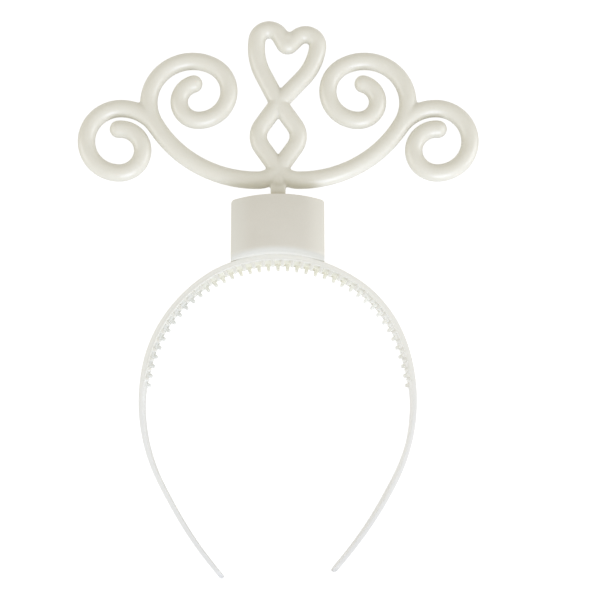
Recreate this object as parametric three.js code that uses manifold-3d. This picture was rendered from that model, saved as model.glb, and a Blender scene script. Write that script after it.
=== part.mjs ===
// Light-up tiara: a comb-toothed plastic headband, a battery box on its crown and a tube crest with a heart.
// Millimetres. The tiara lies on its back: +X to the wearer's left, +Y from the head up to the crest,
// +Z up from the surface, which is the way the front of the tiara faces.
import * as THREE from "three";
import { mergeVertices } from "three/addons/utils/BufferGeometryUtils.js";
import Module from "manifold-3d";

const wasm = await Module();
wasm.setup();

// Fit between neighbouring pieces, and how far a cut runs past the face that it opens
const GAP = 0.3;
const OVERCUT = 1;

// Headband: each half runs from the top of the crown through three arcs, ever wider, to a straight tail.
// A turn is in degrees.
const BAND_ARCS = [
  { radius: 60.65, turn: 75.94 },
  { radius: 80, turn: 41 },
  { radius: 177, turn: 13.1 },
];
const CROWN_RADIUS = BAND_ARCS[0].radius;
const TAIL_LENGTH = 7.5;
const BAND_THICKNESS = 1.8;
const CROWN_SWELL = 0.7;
const BAND_WIDTH = 11;
const TIP_WIDTH = 6.5;
const TAPER_START = -15;
const ARC_FACET = 4.5;

// Comb teeth: two rows, the front one half a pitch off the back one, longest on the crown
const TOOTH_LENGTH = 2.9;
const TOOTH_END_LENGTH = 2;
const TOOTH_ROOT = 1.8;
const TOOTH_TIP = 1.5;
const TOOTH_DEPTH = 2.6;
const TOOTH_SINK = 0.8;
const TOOTH_SETBACK = 0.8;
const TOOTH_ROWS = [
  { count: 41, pitch: 4.63, low: TOOTH_SETBACK },
  { count: 40, pitch: 4.66, low: BAND_WIDTH - TOOTH_SETBACK - TOOTH_DEPTH },
];

// Battery box: a block between two arcs about the head's centre
const BOX_WIDTH = 42;
const BOX_BOTTOM_RADIUS = CROWN_RADIUS + GAP;
const BOX_TOP_RADIUS = 87.6;
const BOX_DEPTH = 15;
const BOX_CROWN_RADIUS = 100;
const BOX_EDGE = 2;
const BOX_CORNER = 1.6;
const EDGE_FACETS = 3;

// Back cover: a plate let into the back of the box
const COVER_WIDTH = 34;
const COVER_BOTTOM = 65;
const COVER_TOP = 78.4;
const COVER_CORNER = 2.5;
const COVER_THICKNESS = 1.4;

// Crest: a round tube bent in one plane, with a flat tab down into the box
const TUBE_RADIUS = 4;
const TUBE_SIDES = 12;
const CREST_BOTTOM = 92.85;
const TAB_WIDTH = 6.8;
const TAB_THICKNESS = 4.4;
const TAB_ROOT = CREST_BOTTOM + 9;
const TAB_FOOT = 80;
const FOOT_FILL = 4.2;

// Heart: tube centreline sizes, measured up from where its two tails cross
const HEART_CROSSING = CREST_BOTTOM + 41.1;
const HEART_HALF_WIDTH = 14.3;
const HEART_LOBE_RADIUS = 5.7;
const HEART_LOBE_HEIGHT = 29.5;
const HEART_NOTCH_HEIGHT = 28;
const HEART_TAIL_TURN = 35;
const HEART_LEAN = 8;

// Scrolls: a straight run, then a bend. A positive turn, in degrees, goes left.
const SCROLL_BENDS = [
  { run: 13.2, radius: 9, turn: 70 },
  { run: 13.2, radius: 11.7, turn: 55 },
  { run: 0, radius: 55, turn: 60 },
  { run: 0, radius: 20, turn: 150 },
  { run: 0, radius: 14, turn: 150 },
  { run: 0, radius: 9, turn: 165 },
];
// The side scroll leaves the third bend above, after this much of its turn
const BRANCH_TURN = 55;
const BRANCH_BENDS = [
  { run: 3, radius: 20, turn: -55 },
  { run: 0, radius: 15.5, turn: -180 },
  { run: 0, radius: 10.5, turn: -185 },
];
const BEND_FACET = 17;
const LONGEST_FACET = 7;

const rad = THREE.MathUtils.degToRad;

// A closed geometry as a solid that can be joined and cut
function solid(geometry) {
  const bare = geometry.clone();
  bare.deleteAttribute("normal");
  bare.deleteAttribute("uv");
  const merged = mergeVertices(bare, 1e-4);
  const vertProperties = new Float32Array(merged.attributes.position.array);
  const triVerts = new Uint32Array(merged.index.array);
  return new wasm.Manifold(new wasm.Mesh({ numProp: 3, vertProperties, triVerts }));
}

// A named mesh from a solid
function piece(name, body, material) {
  const mesh = body.getMesh();
  const geometry = new THREE.BufferGeometry();
  geometry.setAttribute("position", new THREE.BufferAttribute(mesh.vertProperties, 3));
  geometry.setIndex(new THREE.BufferAttribute(mesh.triVerts, 1));
  geometry.computeVertexNormals();
  const part = new THREE.Mesh(geometry, material);
  part.name = name;
  return part;
}

// A box given by its lowest and highest corners
function block(low, high) {
  const size = new THREE.Vector3(...high).sub(new THREE.Vector3(...low));
  const geometry = new THREE.BoxGeometry(size.x, size.y, size.z);
  geometry.translate((low[0] + high[0]) / 2, (low[1] + high[1]) / 2, (low[2] + high[2]) / 2);
  return solid(geometry);
}

// A flat shape pulled up from one height to another
function prism(shape, low, high, curveSegments) {
  const settings = { depth: high - low, bevelEnabled: false, curveSegments };
  const geometry = new THREE.ExtrudeGeometry(shape, settings);
  geometry.translate(0, 0, low);
  return solid(geometry);
}

// The same solid on the other side of the middle plane
function mirrored(body) {
  return body.mirror([1, 0, 0]);
}

// A rectangle with round corners
function roundedRectangle(left, right, bottom, top, corner) {
  const shape = new THREE.Shape();
  shape.absarc(right - corner, bottom + corner, corner, rad(-90), 0);
  shape.absarc(right - corner, top - corner, corner, 0, rad(90));
  shape.absarc(left + corner, top - corner, corner, rad(90), rad(180));
  shape.absarc(left + corner, bottom + corner, corner, rad(180), rad(270));
  return shape;
}

// How far the band has turned, in degrees, at a length along its outer face from the top of the crown
function bandTurn(length) {
  let turned = 0;
  let left = length;
  for (const { radius, turn } of BAND_ARCS) {
    const whole = radius * rad(turn);
    if (left <= whole) {
      return turned + turn * (left / whole);
    }
    turned += turn;
    left -= whole;
  }
  return turned;
}

// How much of the crown's swelling is left where the band has turned so far
function crownShare(turned) {
  return Math.max(Math.cos(rad(turned)), 0);
}

function bandThickness(turned) {
  return BAND_THICKNESS + CROWN_SWELL * crownShare(turned);
}

// The point on the band's right half where it has turned so far, on its outer or its inner face
function bandPoint(turned, inside) {
  const inset = inside ? bandThickness(turned) : 0;
  const centre = new THREE.Vector2();
  const spoke = (turn) => new THREE.Vector2(Math.sin(rad(turn)), Math.cos(rad(turn)));
  let start = 0;
  for (const [i, { radius, turn }] of BAND_ARCS.entries()) {
    const next = BAND_ARCS[i + 1];
    if (!next || turned <= start + turn) {
      return centre.addScaledVector(spoke(turned), radius - inset);
    }
    start += turn;
    centre.addScaledVector(spoke(start), radius - next.radius);
  }
}

// Points along half of the band on its outer or its inner face, from the crown to the tail's end
function bandEdge(inside) {
  const points = [bandPoint(0, inside)];
  let start = 0;
  for (const { turn } of BAND_ARCS) {
    const steps = Math.ceil(turn / ARC_FACET);
    for (let i = 1; i <= steps; i++) {
      points.push(bandPoint(start + (turn * i) / steps, inside));
    }
    start += turn;
  }
  const tail = new THREE.Vector2(Math.cos(rad(start)), -Math.sin(rad(start)));
  points.push(points.at(-1).clone().addScaledVector(tail, TAIL_LENGTH));
  return points;
}

// The band's outline: down the right outside, round the tip, up the right inside, and the same on the left
function bandShape() {
  const tipRounding = [0.25, 0.5, 0.75];
  const outer = bandEdge(false);
  const inner = bandEdge(true);
  const tipCentre = outer.at(-1).clone().lerp(inner.at(-1), 0.5);
  const tip = tipRounding.map((share) => {
    const spoke = outer.at(-1).clone().sub(tipCentre);
    return spoke.rotateAround(new THREE.Vector2(), -Math.PI * share).add(tipCentre);
  });
  const right = [...outer, ...tip, ...inner.reverse()];
  const left = right.slice(1, -1).map((point) => new THREE.Vector2(-point.x, point.y));
  return new THREE.Shape([...right, ...left.reverse()]);
}

// The band's width seen from the side: even over the head, narrowing to round tips
function bandWidthShape() {
  const reach = CROWN_RADIUS + OVERCUT;
  const middle = BAND_WIDTH / 2;
  const tipRadius = TIP_WIDTH / 2;
  const tipEnd = bandEdge(false).at(-1).y - BAND_THICKNESS / 2;
  const shape = new THREE.Shape();
  shape.moveTo(reach, 0);
  shape.lineTo(reach, BAND_WIDTH);
  shape.lineTo(TAPER_START, BAND_WIDTH);
  shape.absarc(tipEnd + tipRadius, middle, tipRadius, rad(90), rad(270));
  shape.lineTo(TAPER_START, 0);
  return shape;
}

// One tapered tooth on the band's inner face, at a length from the top that is positive on the right
function tooth(length, low) {
  const side = Math.sign(length) || 1;
  const turned = bandTurn(Math.abs(length));
  const foot = bandPoint(turned, true);
  const tip = TOOTH_END_LENGTH + (TOOTH_LENGTH - TOOTH_END_LENGTH) * crownShare(turned);
  const shape = new THREE.Shape();
  shape.moveTo(TOOTH_SINK, -TOOTH_ROOT / 2);
  shape.lineTo(TOOTH_SINK, TOOTH_ROOT / 2);
  shape.lineTo(-tip, TOOTH_TIP / 2);
  shape.lineTo(-tip, -TOOTH_TIP / 2);
  const geometry = new THREE.ExtrudeGeometry(shape, { depth: TOOTH_DEPTH, bevelEnabled: false });
  geometry.rotateZ(rad(90 - side * turned));
  geometry.translate(side * foot.x, foot.y, low);
  return solid(geometry);
}

function headband() {
  const band = prism(bandShape(), 0, BAND_WIDTH, 1);
  const sideView = new THREE.ExtrudeGeometry(bandWidthShape(), {
    depth: 4 * CROWN_RADIUS,
    bevelEnabled: false,
    curveSegments: 8,
  });
  sideView.translate(0, 0, -2 * CROWN_RADIUS);
  sideView.applyMatrix4(new THREE.Matrix4().makeBasis(
    new THREE.Vector3(0, 1, 0),
    new THREE.Vector3(0, 0, 1),
    new THREE.Vector3(1, 0, 0),
  ));
  const teeth = TOOTH_ROWS.flatMap(({ count, pitch, low }) => {
    const first = (-pitch * (count - 1)) / 2;
    return Array.from({ length: count }, (_, i) => tooth(first + pitch * i, low));
  });
  return teeth.reduce((whole, next) => whole.add(next), band.intersect(solid(sideView)));
}

// The box seen from the front: arched top and bottom, upright sides, small round top corners
function boxShape(inset) {
  const side = BOX_WIDTH / 2 - inset;
  const bottom = BOX_BOTTOM_RADIUS + inset;
  const top = BOX_TOP_RADIUS - inset;
  const corner = BOX_CORNER;
  const cornerX = side - corner;
  const cornerY = Math.sqrt((top - corner) ** 2 - cornerX ** 2);
  const topAngle = Math.atan2(cornerY, cornerX);
  const bottomAngle = Math.acos(side / bottom);
  const shape = new THREE.Shape();
  shape.absarc(0, 0, bottom, Math.PI - bottomAngle, bottomAngle, true);
  shape.absarc(cornerX, cornerY, corner, 0, topAngle);
  shape.absarc(0, 0, top, topAngle, Math.PI - topAngle);
  shape.absarc(-cornerX, cornerY, corner, Math.PI - topAngle, Math.PI);
  return shape;
}

// A slab over the whole box whose front is crowned from side to side
function crownedSlab() {
  const side = BOX_WIDTH;
  const centre = BOX_DEPTH - BOX_CROWN_RADIUS;
  const angle = Math.asin(side / BOX_CROWN_RADIUS);
  const shape = new THREE.Shape();
  shape.moveTo(-side, 0);
  shape.lineTo(side, 0);
  shape.absarc(0, centre, BOX_CROWN_RADIUS, Math.PI / 2 - angle, Math.PI / 2 + angle);
  const geometry = new THREE.ExtrudeGeometry(shape, {
    depth: 2 * BOX_TOP_RADIUS,
    bevelEnabled: false,
    curveSegments: 12,
  });
  geometry.rotateX(Math.PI / 2);
  geometry.translate(0, 2 * BOX_TOP_RADIUS, 0);
  return solid(geometry);
}

function batteryBox() {
  const geometry = new THREE.ExtrudeGeometry(boxShape(BOX_EDGE), {
    depth: BOX_DEPTH,
    bevelThickness: BOX_EDGE,
    bevelSize: BOX_EDGE,
    bevelSegments: EDGE_FACETS,
    curveSegments: 6,
  });
  geometry.translate(0, 0, -BOX_EDGE);
  const socketSide = TAB_WIDTH / 2 + GAP;
  const socketBack = TUBE_RADIUS - TAB_THICKNESS / 2 - GAP;
  const socketFront = TUBE_RADIUS + TAB_THICKNESS / 2 + GAP;
  const socket = block(
    [-socketSide, TAB_FOOT - GAP, socketBack],
    [socketSide, BOX_TOP_RADIUS + OVERCUT, socketFront],
  );
  const coverSide = COVER_WIDTH / 2 + GAP;
  const recess = prism(
    roundedRectangle(-coverSide, coverSide, COVER_BOTTOM - GAP, COVER_TOP + GAP, COVER_CORNER + GAP),
    -OVERCUT,
    COVER_THICKNESS + GAP,
    4,
  );
  return solid(geometry).intersect(crownedSlab()).subtract(socket).subtract(recess);
}

function backCover() {
  const shape = roundedRectangle(-COVER_WIDTH / 2, COVER_WIDTH / 2, COVER_BOTTOM, COVER_TOP, COVER_CORNER);
  return prism(shape, 0, COVER_THICKNESS, 4);
}

// A flat path of straight runs and round bends, walked from a start point and heading
class BendPath extends THREE.Curve {
  constructor(start, bends) {
    super();
    this.legs = [];
    let pose = start;
    for (const { run, radius, turn } of bends) {
      if (run > 0) {
        pose = this.walk(pose, { run, facets: 1 });
      }
      if (turn !== 0) {
        const length = radius * rad(Math.abs(turn));
        const facets = Math.ceil(Math.max(Math.abs(turn) / BEND_FACET, length / LONGEST_FACET));
        pose = this.walk(pose, { radius, turn, facets });
      }
    }
    this.end = pose;
    this.facets = this.legs.reduce((sum, leg) => sum + leg.facets, 0);
  }

  // Add one leg and return the pose at its end
  walk(from, leg) {
    const whole = { ...leg, from };
    this.legs.push(whole);
    return this.poseOn(whole, 1);
  }

  // The point and heading at a share of one leg
  poseOn({ from, run, radius, turn }, share) {
    const ahead = new THREE.Vector3(Math.cos(from.heading), Math.sin(from.heading), 0);
    if (run) {
      return { point: from.point.clone().addScaledVector(ahead, run * share), heading: from.heading };
    }
    const left = new THREE.Vector3(-ahead.y, ahead.x, 0).multiplyScalar(Math.sign(turn));
    const angle = rad(Math.abs(turn) * share);
    const point = from.point.clone();
    point.addScaledVector(ahead, radius * Math.sin(angle));
    point.addScaledVector(left, radius * (1 - Math.cos(angle)));
    return { point, heading: from.heading + angle * Math.sign(turn) };
  }

  // Every leg takes a share of the path by its number of facets
  poseAt(share) {
    let step = share * this.facets;
    let leg = this.legs[0];
    for (leg of this.legs) {
      if (step <= leg.facets) {
        break;
      }
      step -= leg.facets;
    }
    return this.poseOn(leg, Math.min(step / leg.facets, 1));
  }

  getPointAt(share) {
    return this.poseAt(share).point;
  }

  getTangentAt(share) {
    const { heading } = this.poseAt(share);
    return new THREE.Vector3(Math.cos(heading), Math.sin(heading), 0);
  }
}

// A round tube along a path, with a round cap on each end
function tube(path) {
  const section = new THREE.Shape();
  section.absarc(0, 0, TUBE_RADIUS, 0, 2 * Math.PI);
  const geometry = new THREE.ExtrudeGeometry(section, {
    extrudePath: path,
    steps: path.facets,
    curveSegments: TUBE_SIDES / 2,
  });
  return solid(geometry).add(ball(path.legs[0].from)).add(ball(path.end));
}

// A ball of the tube's own size, turned to the tube's heading
function ball({ point, heading }) {
  const geometry = new THREE.SphereGeometry(TUBE_RADIUS, TUBE_SIDES, TUBE_SIDES / 2);
  geometry.rotateX(Math.PI / 2);
  geometry.rotateZ(heading);
  geometry.translate(point.x, point.y, point.z);
  return solid(geometry);
}

// Half of the heart: from the notch, over one lobe and down its side to the crossing
function heartHalf() {
  const lobeX = HEART_HALF_WIDTH - HEART_LOBE_RADIUS;
  const rise = HEART_LOBE_HEIGHT - HEART_NOTCH_HEIGHT;
  const reach = Math.hypot(lobeX, rise);
  const heading = Math.atan2(rise, lobeX) + Math.asin(HEART_LOBE_RADIUS / reach);
  const notchRun = Math.sqrt(reach ** 2 - HEART_LOBE_RADIUS ** 2);
  const sine = Math.sin(rad(HEART_TAIL_TURN));
  const cosine = Math.cos(rad(HEART_TAIL_TURN));
  const sideRadius = (HEART_LOBE_HEIGHT * sine - HEART_HALF_WIDTH * cosine) / (1 - cosine);
  const tailRun = (HEART_HALF_WIDTH - sideRadius * (1 - cosine)) / sine;
  const start = { point: new THREE.Vector3(0, HEART_NOTCH_HEIGHT, 0), heading };
  return tube(new BendPath(start, [
    { run: notchRun, radius: HEART_LOBE_RADIUS, turn: -90 - THREE.MathUtils.radToDeg(heading) },
    { run: 0, radius: sideRadius, turn: -HEART_TAIL_TURN },
    { run: tailRun, radius: 0, turn: 0 },
  ]));
}

function crest() {
  const half = heartHalf();
  const heart = half.add(mirrored(half)).rotate([0, 0, -HEART_LEAN]).translate([0, HEART_CROSSING, 0]);
  const start = { point: new THREE.Vector3(0, HEART_CROSSING, 0), heading: rad(-90 - HEART_TAIL_TURN) };
  const scroll = new BendPath(start, SCROLL_BENDS);
  const sweep = { ...SCROLL_BENDS[2], turn: BRANCH_TURN };
  const branchStart = new BendPath(start, [...SCROLL_BENDS.slice(0, 2), sweep]).end;
  const side = tube(scroll).add(tube(new BendPath(branchStart, BRANCH_BENDS)));
  const tab = block(
    [-TAB_WIDTH / 2, TAB_FOOT, -TAB_THICKNESS / 2],
    [TAB_WIDTH / 2, TAB_ROOT, TAB_THICKNESS / 2],
  );
  const foot = ball({ point: new THREE.Vector3(0, CREST_BOTTOM + FOOT_FILL, 0), heading: rad(-90) });
  return heart.add(side).add(mirrored(side)).add(tab).add(foot).translate([0, 0, TUBE_RADIUS]);
}

const bandPlastic = new THREE.MeshStandardMaterial({ color: 0xf2f1ea, roughness: 0.45, metalness: 0 });
const boxPlastic = new THREE.MeshStandardMaterial({ color: 0xe6e2d6, roughness: 0.5, metalness: 0 });
const coverPlastic = new THREE.MeshStandardMaterial({ color: 0xe3dfd2, roughness: 0.55, metalness: 0 });
const pearlPlastic = new THREE.MeshStandardMaterial({ color: 0xe9e5d8, roughness: 0.3, metalness: 0 });

const group = new THREE.Group();
group.add(piece("headband", headband(), bandPlastic));
group.add(piece("battery_box", batteryBox(), boxPlastic));
group.add(piece("back_cover", backCover(), coverPlastic));
group.add(piece("crest", crest(), pearlPlastic));

// The origin is on the surface, under the middle of the whole tiara
const extent = new THREE.Box3().setFromObject(group);
const middle = extent.getCenter(new THREE.Vector3());
group.position.set(-middle.x, -middle.y, -extent.min.z);

export default group;
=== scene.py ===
import math

import bmesh
import bpy
from mathutils import Matrix, Vector


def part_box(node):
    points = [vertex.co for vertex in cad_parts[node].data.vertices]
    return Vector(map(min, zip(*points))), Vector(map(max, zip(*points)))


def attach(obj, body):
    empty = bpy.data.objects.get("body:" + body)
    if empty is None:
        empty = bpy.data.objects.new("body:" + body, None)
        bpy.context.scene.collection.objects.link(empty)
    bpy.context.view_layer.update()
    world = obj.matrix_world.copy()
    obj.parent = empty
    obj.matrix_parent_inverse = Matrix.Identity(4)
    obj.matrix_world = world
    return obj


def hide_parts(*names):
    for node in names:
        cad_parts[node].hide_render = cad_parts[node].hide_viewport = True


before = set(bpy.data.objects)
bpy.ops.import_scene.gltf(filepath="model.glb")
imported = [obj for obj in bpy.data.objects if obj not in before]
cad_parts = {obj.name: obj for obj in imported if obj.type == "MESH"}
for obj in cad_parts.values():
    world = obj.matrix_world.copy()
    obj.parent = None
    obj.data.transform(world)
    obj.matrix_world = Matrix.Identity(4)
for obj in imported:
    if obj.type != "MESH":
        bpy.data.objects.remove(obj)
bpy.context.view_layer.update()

# Sizes in millimetres, about the centre of the head, with the tiara lying on its back
PER_METRE = 1000
GAP = 0.3
OVERCUT = 1
SAME_PLACE = 0.01

# Facets across round edges and corners, and the least angle of a hard edge, in radians
EDGE_SEGMENTS = 3
TOOTH_SEGMENTS = 2
CORNER_SEGMENTS = 6
BOX_BOTTOM_SEGMENTS = 8
BOX_EDGE_SEGMENTS = 5
HARD_ANGLE = 0.7

# Each half of the band: the radius, the turn and the last tooth's place on each arc from the top
BAND_ARCS = [(60.65, 75.94, 34), (80, 41, 40), (177, 13.1, 40)]
CROWN_RADIUS = BAND_ARCS[0][0]
BAND_THICKNESS = 1.8
BAND_WIDTH = 11
BAND_EDGE = 0.12
ARC_STEP = 2.2

# The band's inner face stands in where it has teeth, and slopes with its mould's draft on the crown
TOOTHED_SWELL = 0.5
SWELL_SPAN = (-8, 12)
CROWN_DRAFT = 0.07

# The arms by the sign of their side: each has a straight tail, and narrows to a tip with round corners
TAIL_LENGTHS = {-1: 9.9, 1: 6.3}
TAIL_STEPS = 14
TAPER_START = -15
TIP_WIDTH = 6.5
TIP_CORNER = 4
TIP_EDGE_SHARE = 0.12

# How far each arm's section leans, at its side and then more of it in its tail
ARM_LEANS = {-1: (0.04, 0), 1: (0.06, 0.13)}
SIDE_LEAN_SPAN = (58, 30)
TAIL_LEAN_SPAN = (-20, -48)

# How far the springy band and then each tail sway to one side, and the heights that they do so between
BAND_SWAYS = [(0.75, 57, 44), (-0.5, 42, 10)]
TAIL_SWAYS = {-1: -1.1, 1: -0.35}
TAIL_SWAY_SPAN = (-45, -80)

TOOTH_PITCH = 4.66
BACK_ROW_SHARE = 4.63 / 4.66
TOOTH_LENGTH = 2.75
TOOTH_END_LENGTH = 1.6
TOOTH_ROOT = 1.8
TOOTH_TIP = 1.3
TOOTH_DEPTH = 2.6
TOOTH_DEPTH_TAPER = 0.86
TOOTH_SETBACK = 0.8
TOOTH_ROUNDING = 0.3

BOX_WIDTH = 42
BOX_SINK = 0.08
BOX_BOTTOM_RADIUS = CROWN_RADIUS - BOX_SINK
BOX_TOP_RADIUS = 87.6
BOX_DEPTH = 15
BOX_CROWN_RADIUS = 100
BOX_STEPS = 28
BOX_CORNER = 1.5
BOX_BOTTOM_EDGE = 3.8
BOX_EDGE = 1.2

COVER_WIDTH = 34
COVER_BOTTOM = 65
COVER_TOP = 78.4
COVER_CORNER = 2.5
COVER_THICKNESS = 1.4
COVER_EDGE = 0.3

TUBE_RADIUS = 4
TUBE_SIDES = 40
BEND_STEP = 4
CREST_BOTTOM = 92.85
TAB_WIDTH = 6.8
TAB_THICKNESS = 4.4
TAB_ROOT = CREST_BOTTOM + 9
TAB_FOOT = 80
TAB_EDGE = 0.5
FOOT_FILL = 4.2

# The skin over the crest's tubes, which start thicker by what easing takes off
SKIN_VOXEL = 0.55
SKIN_EASING = 0.5
SKIN_EASING_TURNS = 4
SKIN_SHRINK = 0.06
RAW_TUBE_RADIUS = TUBE_RADIUS + SKIN_SHRINK

# The heart, from its crossing up
HEART_CROSSING = CREST_BOTTOM + 41.1
HEART_HALF_WIDTH = 14.3
HEART_LOBE_RADIUS = 5.7
HEART_LOBE_HEIGHT = 29.5
HEART_NOTCH_HEIGHT = 28.5
HEART_NOTCH_RADIUS = 1.5
HEART_NOTCH_FILL = 31.2
HEART_TAIL_TURN = 35
HEART_LEAN = 8

# Scrolls: a straight run, then the radius and the turn of a bend
SCROLL_BENDS = [(13.2, 9, 70), (13.2, 11.7, 55), (0, 55, 60), (0, 20, 150), (0, 14, 150), (0, 9, 165)]
BRANCH_TURN = 55
BRANCH_BENDS = [(3, 20, -55), (0, 15.5, -180), (0, 10.5, -185)]

# From those sizes to the row frame in metres
HEAD_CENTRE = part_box("headband")[1].y - CROWN_RADIUS / PER_METRE
TO_ROW = Matrix.Translation((0, HEAD_CENTRE, 0)) @ Matrix.Scale(1 / PER_METRE, 4)

# Patterns in the plastic to a metre, what each does to its tint, roughness and grain, and its gloss
CLOUD_SCALE = 60
MOTTLE_SCALE = 420
FLAKE_SCALE = 3200
WAVE_SCALE = 130
CLOUD_TINT = 0.7
MOTTLE_TINT = 0.2
FLAKE_TINT = 0.25
LEAST_TINT = -0.08
MOTTLE_ROUGHNESS = 0.12
FLAKE_ROUGHNESS = 0.04
WAVE_HEIGHT = 2
COAT_ROUGHNESS = 0.3
PLASTIC_IOR = 1.49
GLOW_RADIUS = (1, 0.95, 0.9)

# Places of a Mix node's two colours among its sockets, and of the colour that it gives
MIX_LOW = 6
MIX_HIGH = 7
MIX_RESULT = 2


# Node trees
class Wire:
    """A socket in a material, with arithmetic that adds Math nodes."""

    def __init__(self, tree, socket=None):
        self.tree = tree
        self.socket = socket

    def node(self, kind, settings=None, sockets=None, outlet=0):
        """A new node with its settings made first, then its sockets set or linked."""
        made = self.tree.nodes.new(kind)
        for name, value in (settings or {}).items():
            setattr(made, name, value)
        for name, value in (sockets or {}).items():
            if isinstance(value, Wire):
                self.tree.links.new(value.socket, made.inputs[name])
            else:
                made.inputs[name].default_value = value
        return Wire(self.tree, made.outputs[outlet] if made.outputs else None)

    def math(self, operation, first, second):
        return self.node("ShaderNodeMath", {"operation": operation}, {0: first, 1: second})

    def __add__(self, other):
        return self.math("ADD", self, other)

    __radd__ = __add__

    def __sub__(self, other):
        return self.math("SUBTRACT", self, other)

    def __rsub__(self, other):
        return self.math("SUBTRACT", other, self)

    def __mul__(self, other):
        return self.math("MULTIPLY", self, other)

    __rmul__ = __mul__

    def blend(self, low, high):
        """A colour between two others, by this value."""
        settings = {"data_type": "RGBA", "clamp_factor": True}
        return self.node("ShaderNodeMix", settings, {0: self, MIX_LOW: low, MIX_HIGH: high}, MIX_RESULT)


def new_material(name):
    material = bpy.data.materials.new(name)
    material.use_nodes = True
    material.node_tree.nodes.clear()
    return material, Wire(material.node_tree)


def colour(red, green, blue):
    """A colour given as it looks on a screen, from 0 to 255, as linear light."""
    def linear(value):
        share = value / 255
        return share / 12.92 if share <= 0.04045 else ((share + 0.055) / 1.055) ** 2.4
    return (linear(red), linear(green), linear(blue), 1)


def noise(wire, place, scale, detail, distortion=0):
    sockets = {"Vector": place, "Scale": scale, "Detail": detail, "Distortion": distortion}
    return wire.node("ShaderNodeTexNoise", None, sockets)


def moulded_plastic(name, deep, pale, roughness, coat, grain, grain_depth, glow, glow_depth, fades=()):
    """Ivory plastic with soft flow clouding, tiny pearl flakes, and a fine moulded grain.

    A fade is a measure, the two values that it runs between, and the tint at its end. That tint may
    be a fade itself: a tint, a measure, two values and another tint. Most of the pieces' fades are
    painted light and painted shade.
    """
    material, wire = new_material(name)
    place = wire.node("ShaderNodeTexCoord", None, None, "Object")
    clouds = noise(wire, place, CLOUD_SCALE, detail=3, distortion=1.2)
    flakes = wire.node("ShaderNodeTexVoronoi", None, {"Vector": place, "Scale": FLAKE_SCALE}, "Color")
    flake = wire.node("ShaderNodeSeparateColor", None, {0: flakes})
    mottle = noise(wire, place, MOTTLE_SCALE, detail=2)
    shade = clouds * CLOUD_TINT + mottle * MOTTLE_TINT + flake * FLAKE_TINT + LEAST_TINT
    tint = shade.blend(deep, pale)
    across = wire.node("ShaderNodeSeparateXYZ", None, {0: place}, "X") * PER_METRE
    height = (wire.node("ShaderNodeSeparateXYZ", None, {0: place}, "Y") - HEAD_CENTRE) * PER_METRE
    way_out = wire.node("ShaderNodeTexCoord", None, None, "Normal")
    measures = {
        "side": across,
        "height": height,
        "radius": wire.math("SQRT", across * across + height * height, 0),
        "rise": wire.node("ShaderNodeSeparateXYZ", None, {0: place}, "Z") * PER_METRE,
        "facing": wire.node("ShaderNodeSeparateXYZ", None, {0: way_out}, "X"),
    }

    def faded(start_tint, measure, start, end, end_tint):
        """A tint that passes from one to another as a measure does between two values."""
        settings = {"interpolation_type": "SMOOTHSTEP"}
        sockets = {"Value": measures[measure], "From Min": start, "From Max": end}
        return wire.node("ShaderNodeMapRange", settings, sockets).blend(start_tint, end_tint)

    for measure, start, end, *end_tint in fades:
        last_tint = end_tint[0] if len(end_tint) == 1 else faded(*end_tint)
        tint = faded(tint, measure, start, end, last_tint)
    skin = noise(wire, place, grain, detail=3)
    waves = noise(wire, place, WAVE_SCALE, detail=1)
    bump = wire.node("ShaderNodeBump", None, {
        "Strength": 1,
        "Distance": grain_depth,
        "Height": skin + waves * WAVE_HEIGHT,
    })
    shader = wire.node("ShaderNodeBsdfPrincipled", None, {
        "Base Color": tint,
        "Roughness": roughness + mottle * MOTTLE_ROUGHNESS + flake * FLAKE_ROUGHNESS,
        "Coat Weight": coat,
        "Coat Roughness": COAT_ROUGHNESS,
        "IOR": PLASTIC_IOR,
        "Subsurface Weight": glow,
        "Subsurface Radius": GLOW_RADIUS,
        "Subsurface Scale": glow_depth,
        "Normal": bump,
    })
    wire.node("ShaderNodeOutputMaterial", None, {"Surface": shader})
    return material


pearl_plastic = moulded_plastic(
    "pearl_plastic", colour(227, 224, 209), colour(236, 234, 221), roughness=0.3, coat=0.9,
    grain=900, grain_depth=0.000012, glow=0.2, glow_depth=0.002,
    # Painted shade: the tab turns dark tan towards the box, where the box shades it
    fades=[("height", CREST_BOTTOM - 0.2, BOX_TOP_RADIUS + 0.4, colour(192, 184, 155))])
case_plastic = moulded_plastic(
    "case_plastic", colour(215, 211, 197), colour(224, 220, 207), roughness=0.42, coat=0.1,
    grain=1500, grain_depth=0.000016, glow=0.1, glow_depth=0.001,
    fades=[
        # Painted light: paler towards both sides, more so on the right, where the light falls
        ("side", -10, -21, colour(228, 226, 214)),
        ("side", 10, 21, colour(233, 230, 217)),
        # Painted shade as a slightly darker strip on the round lower edge, then painted light right
        # above the band that lifts the shade of the crease there
        ("radius", 64, 62.2, colour(216, 215, 204)),
        ("radius", 61.6, 60.7, colour(230, 229, 219)),
    ])
cover_plastic = moulded_plastic(
    "cover_plastic", colour(215, 212, 198), colour(224, 221, 208), roughness=0.46, coat=0.05,
    grain=1500, grain_depth=0.000018, glow=0.1, glow_depth=0.001)
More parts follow.
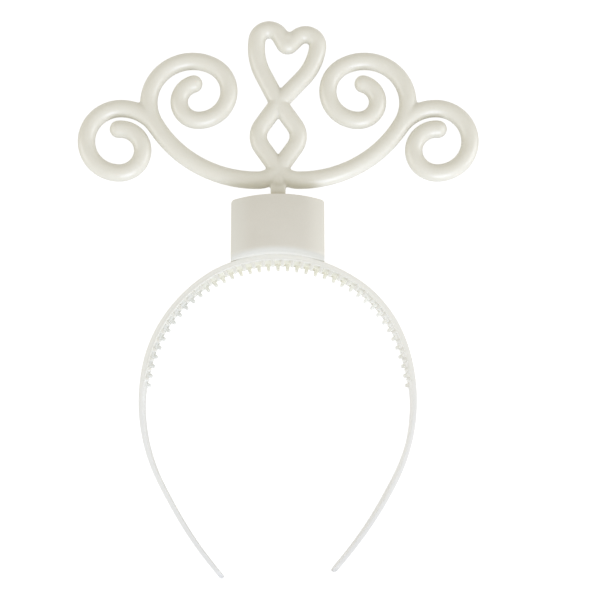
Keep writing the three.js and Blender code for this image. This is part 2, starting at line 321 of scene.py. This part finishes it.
band_plastic = moulded_plastic(
    "band_plastic", colour(235, 235, 227), colour(241, 241, 234), roughness=0.5, coat=0.05,
    grain=1100, grain_depth=0.000012, glow=0.15, glow_depth=0.0008,
    fades=[
        # Painted light and shade on the inner face and teeth: paler towards the right arm, darker
        # towards the left arm
        ("radius", 59.2, 58, colour(242, 242, 234), "side", 45, -45, colour(222, 222, 213)),
        # Painted shade on the crown, where the box sits: a darker, warmer tone
        ("height", 40, 56, colour(233, 231, 214)),
        # Painted shade on the teeth's front faces; the rim's front face keeps one even tone
        ("rise", 7.5, 9.8, colour(240, 239, 230), "radius", 59.3, 58.5, colour(232, 231, 221)),
        # The arms below the middle take a more neutral tone
        ("height", 15, -15, colour(237, 237, 232)),
        # Painted light: faces that turn to the left go near white
        ("facing", -0.7, -0.95, colour(253, 253, 249)),
        # Painted shade darkening the tails towards their tips, with painted light on their left-facing
        # faces
        ("height", -40, -70, colour(231, 231, 227), "facing", -0.3, -0.7, colour(248, 248, 244)),
        # Painted shade at the right tip's end
        ("height", -77.4, -79.4, colour(231, 231, 227), "side", 0, 5, colour(215, 215, 211)),
        # Painted shade at the very ends of both tips
        ("height", -79.8, -82.2, colour(207, 207, 203)),
    ])


# Pieces
def linked(name, mesh):
    piece = bpy.data.objects.new(name, mesh)
    bpy.context.scene.collection.objects.link(piece)
    return piece


def mesh_of(name, bm):
    mesh = bpy.data.meshes.new(name)
    bm.to_mesh(mesh)
    bm.free()
    return mesh


def baked(piece):
    """A piece's mesh with its modifiers made real, taking the piece away."""
    graph = bpy.context.evaluated_depsgraph_get()
    mesh = bpy.data.meshes.new_from_object(piece.evaluated_get(graph))
    bpy.data.objects.remove(piece)
    return mesh


def finished(name, mesh, material, node, sharp_angle):
    """Move a mesh into the row frame, and make it the piece that stands for a node."""
    mesh.transform(TO_ROW)
    mesh.materials.clear()
    mesh.materials.append(material)
    mesh.polygons.foreach_set("use_smooth", [True] * len(mesh.polygons))
    mesh.set_sharp_from_angle(angle=math.radians(sharp_angle))
    mesh.name = name
    piece = linked(name, mesh)
    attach(piece, "root")
    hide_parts(node)


def verts_in(geom):
    return [item for item in geom if isinstance(item, bmesh.types.BMVert)]


def edges_in(geom):
    return [item for item in geom if isinstance(item, bmesh.types.BMEdge)]


def verts_of(edges):
    """The vertices of some edges, each once and in a fixed order."""
    return list(dict.fromkeys(vert for edge in edges for vert in edge.verts))


def edges_at(verts):
    """The edges at some vertices, each once and in a fixed order."""
    return list(dict.fromkeys(edge for vert in verts for edge in vert.link_edges))


def bevel(bm, geom, offset, segments, affect="EDGES"):
    bmesh.ops.bevel(
        bm, geom=geom, offset=offset, offset_type="OFFSET", segments=segments, profile=0.5,
        affect=affect, material=-1, clamp_overlap=True)


def spun(bm, edges, centre, angle, steps):
    """Spin a ring of edges about an upright axis, and give the ring at the end."""
    made = bmesh.ops.spin(
        bm, geom=verts_of(edges) + edges, cent=centre, axis=(0, 0, 1), angle=math.radians(angle),
        steps=steps)
    return edges_in(made["geom_last"])


def pulled(bm, edges, offset):
    """Extrude a ring of edges along an offset, and give the new ring."""
    made = bmesh.ops.extrude_edge_only(bm, edges=edges)["geom"]
    bmesh.ops.translate(bm, verts=verts_in(made), vec=offset)
    return edges_in(made)


# Crest
def add_ball(bm, point):
    bmesh.ops.create_uvsphere(
        bm, u_segments=TUBE_SIDES, v_segments=TUBE_SIDES // 2, radius=RAW_TUBE_RADIUS,
        matrix=Matrix.Translation(point))


def walked(point, heading, bends):
    """The point and heading after a list of bends."""
    point = point.copy()
    for run, radius, turn in bends:
        ahead = Vector((math.cos(heading), math.sin(heading), 0))
        left = Vector((-ahead.y, ahead.x, 0)) * math.copysign(1, turn)
        angle = math.radians(abs(turn))
        point += ahead * (run + radius * math.sin(angle)) + left * radius * (1 - math.cos(angle))
        heading += math.radians(turn)
    return point, heading


def add_tube(bm, point, heading, bends):
    """A closed round tube along straight runs and bends, with a ball on each end."""
    facing = Matrix.Rotation(heading, 4, "Z") @ Matrix.Rotation(math.pi / 2, 4, "Y")
    start = bmesh.ops.create_circle(
        bm, segments=TUBE_SIDES, radius=RAW_TUBE_RADIUS, cap_ends=True,
        matrix=Matrix.Translation(point) @ facing)["verts"]
    add_ball(bm, point)
    ring = edges_at(start)
    for run, radius, turn in bends:
        ahead = Vector((math.cos(heading), math.sin(heading), 0))
        if run:
            ring = pulled(bm, ring, ahead * run)
        if turn:
            left = Vector((-ahead.y, ahead.x, 0)) * math.copysign(1, turn)
            centre = point + ahead * run + left * radius
            ring = spun(bm, ring, centre, turn, math.ceil(abs(turn) / BEND_STEP))
        point, heading = walked(point, heading, [(run, radius, turn)])
    bmesh.ops.contextual_create(bm, geom=ring)
    add_ball(bm, point)


def mirrored(bends):
    return [(run, radius, -turn) for run, radius, turn in bends]


def heart_bends():
    """From the bottom of the notch over one lobe and down its side to the crossing."""
    lobe = HEART_HALF_WIDTH - HEART_LOBE_RADIUS
    rise = HEART_LOBE_HEIGHT - HEART_NOTCH_HEIGHT - HEART_NOTCH_RADIUS
    reach = math.hypot(lobe, rise)
    both = HEART_LOBE_RADIUS + HEART_NOTCH_RADIUS
    climb = math.degrees(math.atan2(rise, lobe) + math.asin(both / reach))
    sine = math.sin(math.radians(HEART_TAIL_TURN))
    cosine = math.cos(math.radians(HEART_TAIL_TURN))
    side_radius = (HEART_LOBE_HEIGHT * sine - HEART_HALF_WIDTH * cosine) / (1 - cosine)
    tail = (HEART_HALF_WIDTH - side_radius * (1 - cosine)) / sine
    return [
        (0, HEART_NOTCH_RADIUS, climb),
        (math.sqrt(reach ** 2 - both ** 2), HEART_LOBE_RADIUS, -90 - climb),
        (0, side_radius, -HEART_TAIL_TURN),
        (tail, 0, 0),
    ]


def make_crest():
    bm = bmesh.new()
    crossing = Vector((0, HEART_CROSSING, TUBE_RADIUS))
    lean = Matrix.Rotation(-math.radians(HEART_LEAN), 3, "Z")
    lean_turn = math.radians(HEART_LEAN)
    notch = crossing + lean @ Vector((0, HEART_NOTCH_HEIGHT, 0))
    bends = heart_bends()
    add_tube(bm, notch, -lean_turn, bends)
    add_tube(bm, notch, math.pi - lean_turn, mirrored(bends))
    add_ball(bm, crossing + lean @ Vector((0, HEART_NOTCH_FILL, 0)))
    add_ball(bm, Vector((0, CREST_BOTTOM + FOOT_FILL, TUBE_RADIUS)))
    sweep = [*SCROLL_BENDS[:2], (*SCROLL_BENDS[2][:2], BRANCH_TURN)]
    for turned, heading in (False, -90 - HEART_TAIL_TURN), (True, -90 + HEART_TAIL_TURN):
        side = mirrored if turned else list
        heading = math.radians(heading)
        add_tube(bm, crossing, heading, side(SCROLL_BENDS))
        add_tube(bm, *walked(crossing, heading, side(sweep)), side(BRANCH_BENDS))
    tab_size = (TAB_WIDTH, TAB_ROOT - TAB_FOOT, TAB_THICKNESS)
    tab_middle = Vector((0, (TAB_ROOT + TAB_FOOT) / 2, TUBE_RADIUS))
    tab = bmesh.ops.create_cube(bm, size=1, matrix=Matrix.LocRotScale(tab_middle, None, tab_size))
    bevel(bm, edges_at(tab["verts"]), TAB_EDGE, EDGE_SEGMENTS)
    bmesh.ops.recalc_face_normals(bm, faces=bm.faces)
    skin = linked("crest_parts", mesh_of("crest_parts", bm))
    remesh = skin.modifiers.new("one_skin", "REMESH")
    remesh.mode = "VOXEL"
    remesh.voxel_size = SKIN_VOXEL
    ease = skin.modifiers.new("easing", "SMOOTH")
    ease.factor = SKIN_EASING
    ease.iterations = SKIN_EASING_TURNS
    finished("crest", baked(skin), pearl_plastic, "crest", sharp_angle=180)


# Headband
def spoke(turned):
    """The way out from the middle of an arc where the band has turned so far from the top."""
    return Vector((math.sin(math.radians(turned)), math.cos(math.radians(turned)), 0))


def band_section(bm, turned):
    """The ring of the band's section on the crown, with lines for the teeth."""
    low = TOOTH_SETBACK
    high = BAND_WIDTH - TOOTH_SETBACK
    inner = CROWN_RADIUS - BAND_THICKNESS
    heights = [high, high - TOOTH_DEPTH, low + TOOTH_DEPTH, low]
    corners = [(inner, 0), (CROWN_RADIUS, 0), (CROWN_RADIUS, BAND_WIDTH), (inner, BAND_WIDTH)]
    lines = [(inner, height) for height in heights]
    out = spoke(turned)
    points = [(out.x * radius, out.y * radius, height) for radius, height in corners + lines]
    verts = [bm.verts.new(point) for point in points]
    bm.faces.new(verts)
    bevel(bm, verts[:4], BAND_EDGE, EDGE_SEGMENTS, "VERTICES")
    bmesh.ops.delete(bm, geom=bm.faces[:], context="FACES_ONLY")
    return bm.edges[:]


def middle_height(edge):
    return sum(vert.co.z for vert in edge.verts) / 2


def add_arc(bm, ring, centre, radius, side, start, end, places, feet):
    """Carry the ring along an arc past the places of some teeth, and note the face under each tooth.

    Lengths are along the outer face, from the top of the crown.
    """
    def onward(ring, length, steps=1):
        return spun(bm, ring, centre, -side * math.degrees(length / radius), steps)

    foot = TOOTH_ROOT * radius / (radius - BAND_THICKNESS)
    for place in places:
        in_front = place % 2
        middle = place * TOOTH_PITCH / 2 * (1 if in_front else BACK_ROW_SHARE)
        height = TOOTH_SETBACK + TOOTH_DEPTH / 2
        if in_front:
            height = BAND_WIDTH - height
        ring = onward(ring, middle - foot / 2 - start)
        line = next(edge for edge in ring if abs(middle_height(edge) - height) < SAME_PLACE)
        before = set(line.link_faces)
        ring = onward(ring, foot)
        feet.extend(set(line.link_faces) - before)
        start = middle + foot / 2
    return onward(ring, end - start, math.ceil((end - start) / ARC_STEP))


def crown_share(point):
    """How near a point of the band is to the top of the crown, from nought at the sides to one."""
    return max(point.y / math.hypot(point.x, point.y), 0)


def add_teeth(bm, feet):
    """Pull a tapered tooth with round edges out of each foot."""
    made = bmesh.ops.extrude_discrete_faces(bm, faces=feet)["faces"]
    for face in made:
        face.normal_update()
        centre = face.calc_center_median()
        turn = Matrix.Rotation(math.atan2(face.normal.y, face.normal.x), 4, "Z")
        taper = Matrix.Diagonal((1, TOOTH_TIP / TOOTH_ROOT, TOOTH_DEPTH_TAPER, 1))
        length = TOOTH_END_LENGTH + (TOOTH_LENGTH - TOOTH_END_LENGTH) * crown_share(centre) ** 2
        moved = Matrix.Translation(centre + face.normal * length) @ turn @ taper
        bmesh.ops.transform(
            bm, matrix=moved @ turn.inverted() @ Matrix.Translation(-centre), verts=face.verts)
    ends = [vert for face in made for vert in face.verts]
    bevel(bm, edges_at(ends), TOOTH_ROUNDING, TOOTH_SEGMENTS)


def end_share(left, corner, half):
    """How much of a half width is left this far from an end with round corners."""
    inside = max(corner - left, 0)
    return 1 - (corner - math.sqrt(corner ** 2 - inside ** 2)) / half


def add_side(bm, ring, side, feet):
    """One side of the band from the crown on: two wider arcs, a straight tail and a round tip."""
    before, turned, passed = BAND_ARCS[0]
    start = before * math.radians(turned)
    centre = Vector()
    for radius, turn, last in BAND_ARCS[1:]:
        centre += spoke(side * turned) * (before - radius)
        end = start + radius * math.radians(turn)
        ring = add_arc(bm, ring, centre, radius, side, start, end, range(passed + 1, last + 1), feet)
        before = radius
        turned += turn
        passed = last
        start = end
    along = spoke(side * (turned + 90))
    facing = Matrix.Rotation(math.atan2(along.y, along.x), 4, "Z")
    total = TAIL_LENGTHS[side] + BAND_THICKNESS / 2
    left, thick, wide = total, 1, 1
    for step in range(1, TAIL_STEPS + 1):
        before = (left, thick, wide)
        left = total * (1 - step / TAIL_STEPS) ** 2
        thick = max(end_share(left, BAND_THICKNESS / 2, BAND_THICKNESS / 2), TIP_EDGE_SHARE)
        wide = end_share(left, TIP_CORNER, BAND_WIDTH / 2)
        ring = pulled(bm, ring, along * (before[0] - left))
        verts = verts_of(ring)
        middle = sum((vert.co for vert in verts), Vector()) / len(verts)
        middle.z = BAND_WIDTH / 2
        squeeze = Matrix.Diagonal((1, thick / before[1], wide / before[2], 1))
        bmesh.ops.transform(
            bm, verts=verts,
            matrix=Matrix.Translation(middle) @ facing @ squeeze @ facing.inverted()
            @ Matrix.Translation(-middle))
    bmesh.ops.contextual_create(bm, geom=ring)


def ramp(value, start, end):
    """A smooth rise from nought to one between two values."""
    share = min(max((value - start) / (end - start), 0), 1)
    return share * share * (3 - 2 * share)


def make_headband():
    bm = bmesh.new()
    radius, turn, last = BAND_ARCS[0]
    half = radius * math.radians(turn)
    start = band_section(bm, -turn)
    feet = []
    right = add_arc(bm, start, Vector(), radius, 1, -half, half, range(-last, last + 1), feet)
    left = [edge for edge in bm.edges if edge.is_boundary and edge.verts[0].co.x < 0]
    add_side(bm, left, -1, feet)
    add_side(bm, right, 1, feet)
    bmesh.ops.recalc_face_normals(bm, faces=bm.faces)
    add_teeth(bm, feet)
    lowest = min(vert.co.y for vert in bm.verts)
    for vert in bm.verts:
        out = math.hypot(vert.co.x, vert.co.y)
        if out < CROWN_RADIUS - BAND_THICKNESS / 2:
            inset = TOOTHED_SWELL * ramp(vert.co.y, *SWELL_SPAN)
            inset += CROWN_DRAFT * crown_share(vert.co) * (BAND_WIDTH - vert.co.z)
            vert.co.x *= 1 - inset / out
            vert.co.y *= 1 - inset / out
        share = min(max((TAPER_START - vert.co.y) / (TAPER_START - lowest), 0), 1)
        narrow = 1 + share * (TIP_WIDTH / BAND_WIDTH - 1)
        vert.co.z = BAND_WIDTH / 2 + (vert.co.z - BAND_WIDTH / 2) * narrow
        side = int(math.copysign(1, vert.co.x))
        side_lean, tail_lean = ARM_LEANS[side]
        lean = side_lean * ramp(vert.co.y, *SIDE_LEAN_SPAN)
        lean += tail_lean * ramp(vert.co.y, *TAIL_LEAN_SPAN)
        vert.co.x -= side * lean * (BAND_WIDTH / 2 * (1 + narrow) - vert.co.z)
        vert.co.x += sum(sway * ramp(vert.co.y, start, end) for sway, start, end in BAND_SWAYS)
        vert.co.x += TAIL_SWAYS[side] * ramp(vert.co.y, *TAIL_SWAY_SPAN)
    bmesh.ops.recalc_face_normals(bm, faces=bm.faces)
    mesh = mesh_of("headband", bm)
    finished("headband", mesh, band_plastic, "headband", sharp_angle=40)


# Battery box and its cover
def rounded_plate(low, high, corner):
    """A plate with round upright corners, given by its lowest and highest corners."""
    bm = bmesh.new()
    size = Vector(high) - Vector(low)
    middle = (Vector(high) + Vector(low)) / 2
    bmesh.ops.create_cube(bm, size=1, matrix=Matrix.LocRotScale(middle, None, size))
    if corner:
        upright = [
            edge for edge in bm.edges if abs(edge.verts[0].co.z - edge.verts[1].co.z) > SAME_PLACE]
        bevel(bm, upright, corner, CORNER_SEGMENTS)
    return bm


def box_block():
    """A bar with a round lower edge in front, bent to the band and crowned, then rounded all over."""
    bm = bmesh.new()
    start = -BOX_WIDTH / 2
    bottom = BOX_BOTTOM_RADIUS
    top = BOX_TOP_RADIUS
    corners = [(bottom, BOX_DEPTH), (bottom, 0), (top, 0), (top, BOX_DEPTH)]
    verts = [bm.verts.new((start, radius, height)) for radius, height in corners]
    bm.faces.new(verts)
    bevel(bm, verts[:1], BOX_BOTTOM_EDGE, BOX_BOTTOM_SEGMENTS, "VERTICES")
    bmesh.ops.delete(bm, geom=bm.faces[:], context="FACES_ONLY")
    ring = bm.edges[:]
    bmesh.ops.contextual_create(bm, geom=ring)
    for _ in range(BOX_STEPS):
        ring = pulled(bm, ring, (BOX_WIDTH / BOX_STEPS, 0, 0))
    bmesh.ops.contextual_create(bm, geom=ring)
    bmesh.ops.recalc_face_normals(bm, faces=bm.faces)
    for vert in bm.verts:
        across = vert.co.x
        vert.co.y = math.sqrt(vert.co.y ** 2 - across ** 2)
        if vert.co.z > BOX_DEPTH / 2:
            vert.co.z -= BOX_CROWN_RADIUS - math.sqrt(BOX_CROWN_RADIUS ** 2 - across ** 2)
    end = BOX_WIDTH / 2 - SAME_PLACE
    middle = (bottom + top) / 2
    shoulders = [
        edge for edge in bm.edges
        if all(abs(vert.co.x) > end and vert.co.y > middle for vert in edge.verts)
        and abs(edge.verts[0].co.y - edge.verts[1].co.y) < SAME_PLACE]
    bevel(bm, shoulders, BOX_CORNER, CORNER_SEGMENTS)
    bmesh.ops.recalc_face_normals(bm, faces=bm.faces)
    hard = [edge for edge in bm.edges if edge.calc_face_angle() > HARD_ANGLE]
    bevel(bm, hard, BOX_EDGE, BOX_EDGE_SEGMENTS)
    return bm


def make_battery_box():
    box = linked("box_block", mesh_of("box_block", box_block()))
    tab_side = TAB_WIDTH / 2 + GAP
    tab_depth = TAB_THICKNESS / 2 + GAP
    socket = rounded_plate(
        (-tab_side, TAB_FOOT - GAP, TUBE_RADIUS - tab_depth),
        (tab_side, BOX_TOP_RADIUS + OVERCUT, TUBE_RADIUS + tab_depth), 0)
    side = COVER_WIDTH / 2 + GAP
    recess = rounded_plate(
        (-side, COVER_BOTTOM - GAP, -OVERCUT),
        (side, COVER_TOP + GAP, COVER_THICKNESS + GAP), COVER_CORNER + GAP)
    cutters = [linked("socket_cutter", mesh_of("socket_cutter", socket)),
               linked("recess_cutter", mesh_of("recess_cutter", recess))]
    for cutter in cutters:
        cut = box.modifiers.new("cut", "BOOLEAN")
        cut.operation = "DIFFERENCE"
        cut.solver = "EXACT"
        cut.object = cutter
    mesh = baked(box)
    for cutter in cutters:
        bpy.data.objects.remove(cutter)
    finished("battery_box", mesh, case_plastic, "battery_box", sharp_angle=30)


def make_back_cover():
    bm = rounded_plate(
        (-COVER_WIDTH / 2, COVER_BOTTOM, 0), (COVER_WIDTH / 2, COVER_TOP, COVER_THICKNESS), COVER_CORNER)
    around = [
        edge for edge in bm.edges
        if edge.calc_face_angle() > HARD_ANGLE and edge.verts[0].co.z == edge.verts[1].co.z]
    bevel(bm, around, COVER_EDGE, EDGE_SEGMENTS)
    mesh = mesh_of("back_cover", bm)
    finished("back_cover", mesh, cover_plastic, "back_cover", sharp_angle=30)


make_crest()
make_headband()
make_battery_box()
make_back_cover()


# Floor
FLOOR_SIZE = 4
FLOOR_DROP = 0.0002


def make_floor():
    """A white floor that keeps only a faint shadow, and that throws back a softer light."""
    material, wire = new_material("pale_floor")
    seen = wire.node("ShaderNodeBsdfPrincipled", None, {
        "Base Color": (0.3, 0.3, 0.3, 1),
        "Roughness": 0.9,
        "Emission Color": (1, 1, 1, 1),
        "Emission Strength": 0.9,
    })
    bounce = wire.node("ShaderNodeBsdfPrincipled", None, {
        "Base Color": (0.4, 0.4, 0.39, 1),
        "Roughness": 0.9,
        "Emission Color": (1, 0.99, 0.965, 1),
        "Emission Strength": 0.36,
    })
    to_lens = wire.node("ShaderNodeLightPath")
    floor_shader = wire.node("ShaderNodeMixShader", None, {0: to_lens, 1: bounce, 2: seen})
    wire.node("ShaderNodeOutputMaterial", None, {"Surface": floor_shader})
    bm = bmesh.new()
    bmesh.ops.create_grid(
        bm, x_segments=1, y_segments=1, size=FLOOR_SIZE, matrix=Matrix.Translation((0, 0, -FLOOR_DROP)))
    floor = linked("floor", mesh_of("floor", bm))
    floor.data.materials.append(material)


make_floor()


# Light
LIGHT_DISTANCE = 1.4
LIGHT_SIZE = 0.9


def add_light(name, azimuth, elevation, power, tint):
    """A square soft light that points at the tiara."""
    lamp = bpy.data.lights.new(name, "AREA")
    lamp.size = LIGHT_SIZE
    lamp.energy = power
    lamp.color = tint
    light = linked(name, lamp)
    turn = math.radians(azimuth)
    rise = math.radians(elevation)
    back = Vector((math.cos(turn) * math.cos(rise), math.sin(turn) * math.cos(rise), math.sin(rise)))
    light.location = back * LIGHT_DISTANCE
    light.rotation_euler = back.to_track_quat("Z", "Y").to_euler()


add_light("low_key", azimuth=-74, elevation=26, power=8.5, tint=(0.9, 0.98, 1.24))
add_light("right_fill", azimuth=0, elevation=14, power=5, tint=(0.96, 0.99, 1.1))
add_light("left_fill", azimuth=180, elevation=14, power=3.7, tint=(1, 1, 1.05))

world = bpy.data.worlds.new("studio")
world.use_nodes = True
background = world.node_tree.nodes["Background"]
background.inputs["Color"].default_value = (1, 0.98, 0.94, 1)
background.inputs["Strength"].default_value = 0.68
bpy.context.scene.world = world
bpy.context.scene.view_settings.view_transform = "Standard"

# Camera
CAMERA_TILT = math.radians(12)
CAMERA_DISTANCE = 0.7
CAMERA_AIM = Vector((0.010, -0.00568, 0.004))
lens = bpy.data.cameras.new("camera")
lens.lens = 93.33
lens.sensor_width = 36
lens.clip_start = 0.01
camera = linked("camera", lens)
way_back = Vector((0, -math.sin(CAMERA_TILT), math.cos(CAMERA_TILT)))
camera.location = CAMERA_AIM + CAMERA_DISTANCE * way_back
camera.rotation_euler = (CAMERA_TILT, 0, 0)
bpy.context.scene.camera = camera
